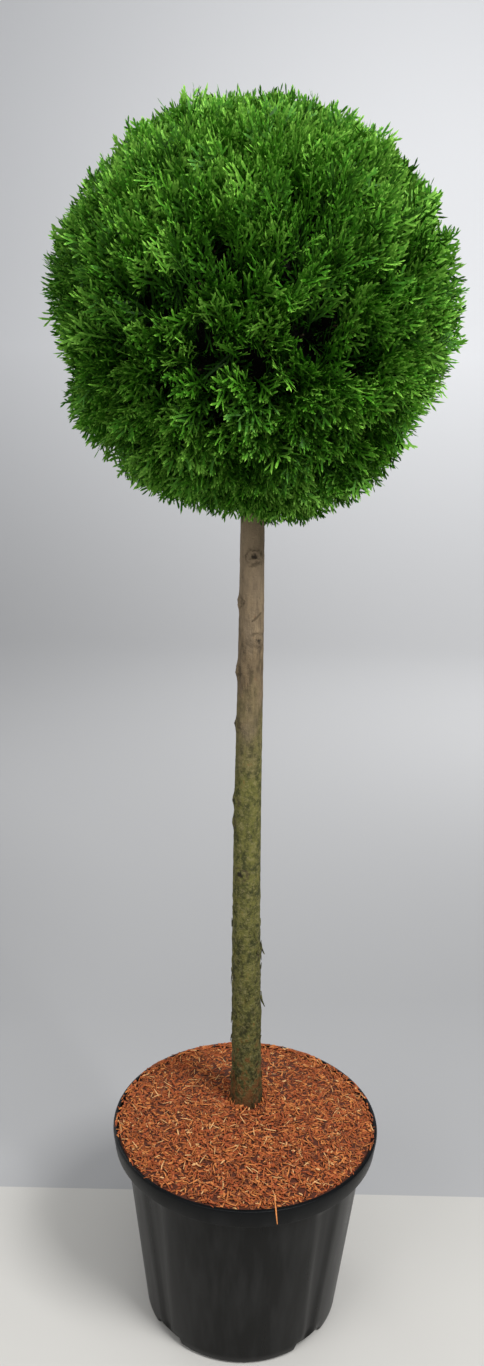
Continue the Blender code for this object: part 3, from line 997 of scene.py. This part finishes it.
def spray_form(rng, length):
    """A flat spray: a bowed axis with alternate branchlets, each with one or two twiglets.

    The tints rise from 0 at the root to 3 at the tips.
    """
    strips = Strips()
    bow = rng.uniform(-0.10, 0.10)
    droop = rng.uniform(-0.06, 0.12)

    def on_axis(t):
        return Vector((bow * length * t * t, length * t, -droop * length * t * t))

    across = Vector((1, 0, 0))
    strips.add([on_axis(t) for t in (0.0, 0.4, 0.82, 1.0)], (0.0012, 0.0022, 0.0022), across, (0, 1, 3))
    branchlets = 9
    for number in range(branchlets):
        t = lerp(0.20, 0.92, number / (branchlets - 1)) + rng.uniform(-0.02, 0.02)
        side = 1 if number % 2 else -1
        size = length * (0.42 * math.sin(math.pi * (0.20 + 0.80 * t)) ** 0.8 + 0.10) * rng.uniform(0.75, 1.25)
        angle = math.radians(rng.uniform(30, 50))
        way = Vector((side * math.sin(angle), math.cos(angle), rng.uniform(-0.30, 0.30)))
        bent = (way + Vector((0, 0.6, 0))).normalized()
        start = on_axis(t)
        middle = start + way * size * 0.45
        later = middle + (way + bent).normalized() * size * 0.38
        tip = later + bent * size * 0.20
        flat = (way.cross(UP).normalized() + UP * rng.uniform(-0.5, 0.5)).normalized()
        strips.add([start, middle, later, tip], (0.0011, 0.0022, 0.0022), flat, (0, 1, 3))
        if size < 0.012:
            continue
        for place, hand in ((middle, side), (middle.lerp(later, 0.6), -side))[: 1 + number % 2]:
            out = (way + flat * hand * 0.75).normalized()
            end = place + out * size * rng.uniform(0.34, 0.52)
            thick = out.cross(UP).normalized()
            strips.add([place, place.lerp(end, 0.75), end], (0.0010, 0.0021), thick, (1, 3))
    return strips.arrays()


class TOPIARY_OT_heart(Operator):
    """Models the dense inside of the ball, painted near-black as painted shade with brown flecks of dead
    foliage, which shows in the holes
    """

    bl_idname = "topiary.heart"
    bl_label = "Shaded inside"

    def execute(self, context):
        settings = context.scene.topiary_crown
        deselect()
        bpy.ops.mesh.primitive_ico_sphere_add(
            subdivisions=6, radius=settings.heart_radius, location=CROWN_CENTRE
        )
        heart = bpy.context.object
        heart.name = heart.data.name = "shaded_inside"
        bpy.ops.object.transform_apply(location=True, rotation=False, scale=False)
        relief(heart, 0.055, 0.030)
        relief(heart, 0.012, 0.014)
        heart.data.materials.append(inside_shade_finish())
        settle(heart, material_slot="crown")
        return {"FINISHED"}


class TOPIARY_OT_boughs(Operator):
    """Grows boughs from the stem's top, and twigs on from them to just under the clipped surface"""

    bl_idname = "topiary.boughs"
    bl_label = "Boughs and twigs"

    def execute(self, context):
        settings = context.scene.topiary_crown
        rng = random.Random(settings.seed)
        copies = []
        for way in map(Vector, even_directions(SHOOT_COUNT)):
            start, fork = bough_ends(way)
            middle = start.lerp(fork, 0.5) + Vector((0, 0, -0.012)) * (1 - way.z)
            copies.append(tube([start, middle, fork], (0.0042, 0.0034, 0.0024), 6))
        for fork, end in twig_ends(settings):
            middle = fork.lerp(end, 0.5) + jitter(rng, 0.003)
            copies.append(tube([fork, middle, end], (0.0020, 0.0016, 0.0010), 4))
        made = joined_mesh("boughs", copies, [twig_finish()], smooth=True)
        settle(made, material_slot="trunk")
        return {"FINISHED"}


def bough_ends(way):
    """Where a bough leaves the stem and where it forks, for a shoot that goes this way."""
    height = min(TRUNK_TIP.z - 0.004, max(LOWEST_BOUGH, CROWN_CENTRE.z - 0.06 + 0.10 * way.z))
    return stem_axis(height), CROWN_CENTRE + way * FORK_RADIUS


def twig_ends(settings):
    """Each twig's fork on the nearest bough, and its end under the clipped surface."""
    shoots = even_directions(SHOOT_COUNT)
    ends = []
    for way in even_directions(settings.twig_count):
        shoot = Vector(shoots[np.argmax(shoots @ way)])
        end = CROWN_CENTRE + Vector(way) * (settings.body_radius - TWIG_DEPTH)
        if clear_of_stem(end, 0.006):
            ends.append((bough_ends(shoot)[1], end))
    return ends


def clear_of_stem(point, berth):
    if point.z > TRUNK_TIP.z:
        return True
    return (point - stem_axis(point.z)).length > stem_radius(point.z) + berth


def ease(value, low, high):
    share = min(1.0, max(0.0, (value - low) / (high - low)))
    return share * share * (3 - 2 * share)


def aim(turn, rise):
    """Direction from the ball's centre, from degrees off the front towards the right and degrees up."""
    flat = side_of_stem(turn) * math.cos(math.radians(rise))
    return flat + UP * math.sin(math.radians(rise))


def hole_share(way):
    """From 0 on a tuft to 1 in a hole's middle. Sides and back have scattered holes, and the top has none."""
    field = noise.noise(way * 4.6 + Vector((2.3, 5.1, 0.7)))
    field += 0.45 * noise.noise(way * 10.5 + Vector((0, 4, 9)))
    share = 0.8 * ease(-field, 0.12, 0.34) * (1 - ease(way.z, 0.35, 0.75)) * ease(way.y, -0.55, -0.05)
    ragged = 3.5 * noise.noise(way * 13)
    for turn, rise, wide in HOLES:
        off = math.degrees(way.angle(aim(turn, rise))) + ragged
        share = max(share, ease(wide - off, 0, wide * 0.45))
    return share


def clipped_radius(settings, way):
    """Radius of the clipped surface in a direction, with its lumps and bulges but without its holes."""
    lumps = 0.006 * noise.noise(way * 3.1 + Vector((3, 1, 7))) + 0.008 * noise.noise(way * 8.3)
    for turn, rise, proud in BULGES:
        lumps += proud * math.exp(-(math.degrees(way.angle(aim(turn, rise))) / BULGE_DEGREES) ** 2)
    return settings.body_radius + lumps


class TOPIARY_OT_sprays(Operator):
    """Grows the flat leaf sprays out of the twigs, in several joined pieces"""

    bl_idname = "topiary.sprays"
    bl_label = "Leaf sprays"

    def execute(self, context):
        settings = context.scene.topiary_crown
        rng = random.Random(settings.seed + 1)
        forms = [spray_form(rng, settings.spray_length * rng.uniform(0.9, 1.1)) for _ in range(SPRAY_FORMS)]
        greens = []
        # The greens run from the shade green, which is painted shade, through the mid green to the lime
        # green.
        for step in range(GREENS):
            share = 2 * step / (GREENS - 1)
            green = mixed(settings.shade_green, settings.mid_green, min(1.0, share) ** 1.2)
            green = mixed(green, settings.lime_green, max(0.0, share - 1))
            greens.append(spray_finish(f"spray_green_{step}", green))
        twigs = twig_ends(settings)
        aims = np.array([(end - CROWN_CENTRE).normalized() for _, end in twigs])
        batches = [[] for _ in range(SPRAY_PIECES)]
        for number, way in enumerate(even_directions(settings.spray_count)):
            copy = self.grown(rng, settings, forms, Vector(way), twigs, aims)
            if copy is not None:
                batches[number * SPRAY_PIECES // settings.spray_count].append(copy)
        for number, batch in enumerate(batches, start=1):
            made = joined_mesh(f"leaf_sprays_{number}", batch, greens)
            replaced = ("crown",) if number == 1 else ()
            settle(made, *replaced, material_slot="crown")
        return {"FINISHED"}

    def grown(self, rng, settings, forms, way, twigs, aims):
        """One spray, from a point on a twig near by to its place in the clipped surface."""
        way = (way + jitter(rng, 0.03)).normalized()
        hole = hole_share(way)
        inner = rng.random() < 0.25 + 0.40 * hole
        if rng.random() < 0.70 * hole:
            return None
        rise = 0.20 * ease(way.z, -0.55, 0.1)
        lean = jitter(rng, rng.choice((0.09, 0.09, 0.20))) - UP * rise
        fork, end = twigs[int(np.argmax(aims @ (way + lean).normalized()))]
        depth = rng.uniform(0.016, 0.032) if inner else abs(rng.gauss(0, 0.0088))
        radius = clipped_radius(settings, way) + 0.0105 - depth - settings.hole_depth * hole
        if rng.random() < 0.06 and not inner:
            radius += rng.uniform(0.003, 0.012)
        tip = CROWN_CENTRE + way * radius
        root = fork.lerp(end, rng.uniform(0.70, 1.0) - 0.35 * hole)
        axis = tip - root
        longest = settings.spray_length * rng.uniform(0.90, 1.15)
        if axis.length > longest:
            root = tip - axis.normalized() * longest
        if not (clear_of_stem(tip, 0.005) and clear_of_stem(root.lerp(tip, 0.5), 0.003)):
            return None
        axis = tip - root
        points, triangles, tints = rng.choice(forms)
        normal = axis.cross(jitter(rng, 1)).normalized()
        laid = put(points * (axis.length / settings.spray_length), axis, normal, root)
        excess = np.linalg.norm(laid - np.array(CROWN_CENTRE), axis=1).max() - settings.reach
        laid -= np.array(way) * max(0.0, excess)
        if hole < 0.5 and rng.random() < 0.85 and self.crosses_hole(laid):
            return None
        return laid, triangles, self.green(rng, way, hole, inner) + tints

    def crosses_hole(self, laid):
        """Whether a spray from beside a hole would cover it."""
        samples = (Vector(point) - CROWN_CENTRE for point in laid[:: len(laid) // 5])
        return any(hole_share(sample.normalized()) > 0.7 for sample in samples)

    def green(self, rng, way, hole, inner):
        """The green of a spray's root: the darkest inside and in holes as painted shade, lighter ones on top
        as painted light.
        """
        level = rng.choices((1, 2, 3, 4), (28, 28, 22, 22))[0]
        # Painted light: sprays on top are drawn up to one green lighter.
        if way.z > 0.45:
            level = min(4, level + rng.choice((0, 1)))
        # Painted shade: sprays near a hole are held to the darker greens, and sprays inside and in holes get
        # the darkest ones.
        if hole > 0.02:
            level = min(level, 3)
        if inner or hole > 0.5:
            level = rng.choice((0, 0, 1))
        return level


class TOPIARY_OT_stage(Operator):
    """Sets up the pale floor, the far wall, the soft light and the camera"""

    bl_idname = "topiary.stage"
    bl_label = "Studio"

    def execute(self, context):
        settings = context.scene.topiary_studio
        floor, far, wall = settings.floor_colour, settings.far_colour, settings.wall_painted_light
        self.add_floor("studio_floor", FLOOR_NEAR, settings.seam, floor, floor)
        # Painted light: the sweep blends from the far floor's grey to the paler wall colour as it rises.
        sweep = self.add_floor("studio_sweep", settings.seam, FLOOR_FAR, far, wall)
        self.curl_up(sweep)
        for light in LIGHTS:
            self.add_light(*light)
        world = bpy.data.worlds.new("studio")
        world.use_nodes = True
        background = world.node_tree.nodes["Background"]
        background.inputs["Color"].default_value = (0.95, 0.97, 1.0, 1)
        background.inputs["Strength"].default_value = 0.24
        context.scene.world = world
        context.scene.view_settings.view_transform = "Standard"
        self.add_camera(context, settings)
        return {"FINISHED"}

    def add_floor(self, name, near, far, colour, high_colour):
        """A level strip of floor from one depth to another, with another colour for what rises from it,
        blended in by height; on the sweep the paler wall colour is painted light.
        """
        deselect()
        bpy.ops.mesh.primitive_plane_add(size=1, location=(0, (near + far) / 2, -FLOOR_DROP))
        made = bpy.context.object
        made.name = made.data.name = name
        made.scale = (FLOOR_WIDTH, far - near, 1)
        bpy.ops.object.transform_apply(location=True, rotation=True, scale=True)
        finish = Finish(name, roughness=0.7, gloss=0.3)
        finish.colour(finish.blend(finish.spread(finish.height(), 0.0, 1.6), colour, high_colour))
        made.data.materials.append(finish.material)
        return made

    def curl_up(self, made):
        """Draws the floor's far edge up round a quarter of a circle, and on as a wall."""
        turns = [math.pi / 2 * step / CURL_STEPS for step in range(CURL_STEPS + 1)]
        line = [Vector((0, math.sin(turn), 1 - math.cos(turn))) * CURL_RADIUS for turn in turns]
        line.append(line[-1] + UP * WALL_HEIGHT)
        bpy.ops.object.mode_set(mode="EDIT")
        bpy.ops.mesh.select_mode(type="VERT")
        select_points(made, lambda point: point.y > FLOOR_FAR - 0.01)
        for here, there in zip(line, line[1:]):
            bpy.ops.mesh.extrude_region_move(TRANSFORM_OT_translate={"value": there - here})
        finish_modelling(made, 30)

    def add_light(self, name, place, target, size, power):
        bpy.ops.object.light_add(type="AREA", location=place)
        light = bpy.context.object
        light.name = name
        light.data.size = size
        light.data.energy = power
        light.rotation_euler = (Vector(target) - Vector(place)).to_track_quat("-Z", "Y").to_euler()

    def add_camera(self, context, settings):
        bpy.ops.object.camera_add(location=settings.camera_place)
        camera = bpy.context.object
        level = Matrix.Rotation(math.pi / 2 - settings.camera_dip, 4, "X")
        camera.rotation_euler = (level @ Matrix.Rotation(settings.camera_roll, 4, "Z")).to_euler()
        camera.data.lens = settings.lens
        camera.data.sensor_width = 36
        context.scene.camera = camera


OPERATORS = (
    TOPIARY_OT_pot, TOPIARY_OT_soil, TOPIARY_OT_mulch_bed, TOPIARY_OT_shreds, TOPIARY_OT_stem,
    TOPIARY_OT_flakes, TOPIARY_OT_heart, TOPIARY_OT_boughs, TOPIARY_OT_sprays, TOPIARY_OT_stage,
)


class TOPIARY_PT_panel(Panel):
    """Lists the steps and their settings in the sidebar"""

    bl_label = "Topiary"
    bl_space_type = "VIEW_3D"
    bl_region_type = "UI"
    bl_category = "Topiary"

    def draw(self, context):
        for operator in OPERATORS:
            self.layout.operator(operator.bl_idname)
        for name in SETTINGS:
            box = self.layout.box()
            settings = getattr(context.scene, name)
            for key in settings.bl_rna.properties.keys():
                if key not in ("rna_type", "name"):
                    box.prop(settings, key)


SETTINGS = {
    "topiary_pot": PotSettings,
    "topiary_mulch": MulchSettings,
    "topiary_stem": StemSettings,
    "topiary_crown": CrownSettings,
    "topiary_studio": StudioSettings,
}


def register():
    for made in (*SETTINGS.values(), *OPERATORS, TOPIARY_PT_panel):
        bpy.utils.register_class(made)
    for name, group in SETTINGS.items():
        setattr(bpy.types.Scene, name, PointerProperty(type=group))


def unregister():
    for name in SETTINGS:
        delattr(bpy.types.Scene, name)
    for made in reversed((*SETTINGS.values(), *OPERATORS, TOPIARY_PT_panel)):
        bpy.utils.unregister_class(made)


def main():
    register()
    bpy.ops.topiary.pot()
    bpy.ops.topiary.soil()
    bpy.ops.topiary.mulch_bed()
    bpy.ops.topiary.shreds()
    bpy.ops.topiary.stem()
    bpy.ops.topiary.flakes()
    bpy.ops.topiary.heart()
    bpy.ops.topiary.boughs()
    bpy.ops.topiary.sprays()
    bpy.ops.topiary.stage()


if __name__ == "__main__":
    main()
